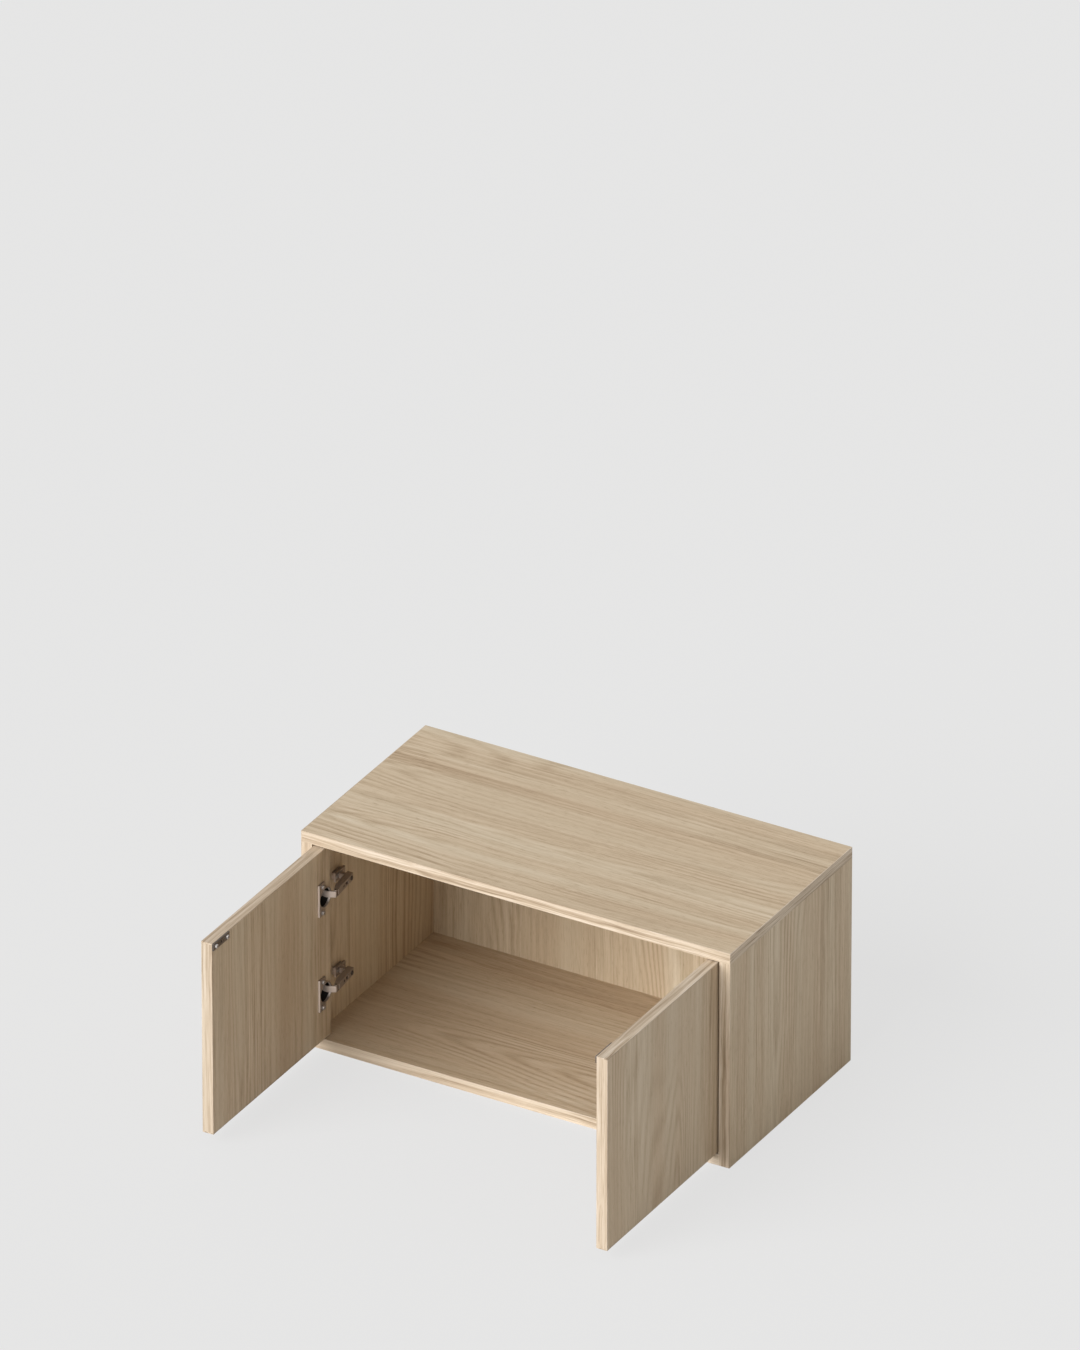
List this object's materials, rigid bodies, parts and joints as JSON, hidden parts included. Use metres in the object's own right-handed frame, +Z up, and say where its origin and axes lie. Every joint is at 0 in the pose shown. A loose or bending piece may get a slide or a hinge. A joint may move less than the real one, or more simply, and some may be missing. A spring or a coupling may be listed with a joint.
{
  "type": "low cabinet with doors",
  "caption": "Low rectangular wood-board cabinet with inset handle-less doors on concealed cup hinges and push-to-open magnetic latches, doors standing open.",
  "frame": {"origin": "centre of the carcass's underside, on the surface that the cabinet stands on", "axes": "+X across the width to the right as seen from the front, -Y out of the front where the doors are, +Z up"},
  "size_m": [0.8, 0.756, 0.4],
  "materials": {
    "oak_board_across": "matte light oak laminate, grain across the width",
    "oak_board_upright": "matte light oak laminate, grain upright",
    "oak_edging": "matte light oak edging with fine lengthwise lines",
    "beech": "raw fluted beech",
    "nickel_steel": "nickel-plated pressed steel",
    "screw_steel": "nickel-plated screw",
    "dark_steel": "dark plated steel",
    "grey_plastic": "grey moulded plastic",
    "white_plastic": "white moulded plastic",
    "magnet": "plated magnet"
  },
  "bodies": {
    "cabinet": {"top_panel": "oak_board_across", "bottom_panel": "oak_board_across", "left_side_panel": "oak_board_upright", "right_side_panel": "oak_board_upright", "back_panel": "oak_board_upright", "carcass_edging": "oak_edging", "carcass_dowels": "beech", "back_screws": "screw_steel", "left_upper_hinge_arm": "nickel_steel", "left_lower_hinge_arm": "nickel_steel", "left_upper_mounting_plate": "nickel_steel", "left_lower_mounting_plate": "nickel_steel", "left_arm_pins": "dark_steel", "left_plate_screws": "screw_steel", "left_arm_screws": "dark_steel", "left_adjusting_screws": "dark_steel", "left_latch_housing": "grey_plastic", "left_latch_spring": "dark_steel", "left_latch_screws": "screw_steel", "right_upper_hinge_arm": "nickel_steel", "right_lower_hinge_arm": "nickel_steel", "right_upper_mounting_plate": "nickel_steel", "right_lower_mounting_plate": "nickel_steel", "right_arm_pins": "dark_steel", "right_plate_screws": "screw_steel", "right_arm_screws": "dark_steel", "right_adjusting_screws": "dark_steel", "right_latch_housing": "grey_plastic", "right_latch_spring": "dark_steel", "right_latch_screws": "screw_steel"},
    "left_links": {"left_upper_hinge_link": "nickel_steel", "left_lower_hinge_link": "nickel_steel"},
    "left_door": {"left_door_panel": "oak_board_upright", "left_door_edging": "oak_edging", "left_upper_hinge_cup": "nickel_steel", "left_lower_hinge_cup": "nickel_steel", "left_cup_pins": "dark_steel", "left_cup_screws": "screw_steel", "left_strike_plate": "nickel_steel", "left_strike_screws": "screw_steel"},
    "left_plunger": {"left_latch_plunger": "white_plastic", "left_latch_magnet": "magnet"},
    "right_links": {"right_upper_hinge_link": "nickel_steel", "right_lower_hinge_link": "nickel_steel"},
    "right_door": {"right_door_panel": "oak_board_upright", "right_door_edging": "oak_edging", "right_upper_hinge_cup": "nickel_steel", "right_lower_hinge_cup": "nickel_steel", "right_cup_pins": "dark_steel", "right_cup_screws": "screw_steel", "right_strike_plate": "nickel_steel", "right_strike_screws": "screw_steel"},
    "right_plunger": {"right_latch_plunger": "white_plastic", "right_latch_magnet": "magnet"}
  },
  "joints": [
    {"name": "left_link_turn", "type": "hinge", "parent": "cabinet", "child": "left_links", "pos_m": [-0.347, -0.181, 0.2], "axis": [0, 0, 1], "range_deg": [-0.49, 8.62]},
    {"name": "left_door_swing", "type": "hinge", "parent": "left_links", "child": "left_door", "pos_m": [-0.36965, -0.18936, 0.2], "axis": [0, 0, 1], "range_deg": [-4.52, 81.39]},
    {"name": "right_link_turn", "type": "hinge", "parent": "cabinet", "child": "right_links", "pos_m": [0.347, -0.181, 0.2], "axis": [0, 0, -1], "range_deg": [-0.49, 8.62]},
    {"name": "right_door_swing", "type": "hinge", "parent": "right_links", "child": "right_door", "pos_m": [0.36965, -0.18936, 0.2], "axis": [0, 0, -1], "range_deg": [-4.52, 81.39]},
    {"name": "left_latch_press", "type": "slide", "parent": "cabinet", "child": "left_plunger", "axis": [0, 1, 0], "range_m": [0, 0.0025], "stiffness_N_per_m": 400},
    {"name": "right_latch_press", "type": "slide", "parent": "cabinet", "child": "right_plunger", "axis": [0, 1, 0], "range_m": [0, 0.0025], "stiffness_N_per_m": 400}
  ],
  "couplings": [
    {"joint": "left_link_turn", "follows": "left_door_swing", "ratio": 0.10572},
    {"joint": "right_link_turn", "follows": "right_door_swing", "ratio": 0.10572}
  ]
}
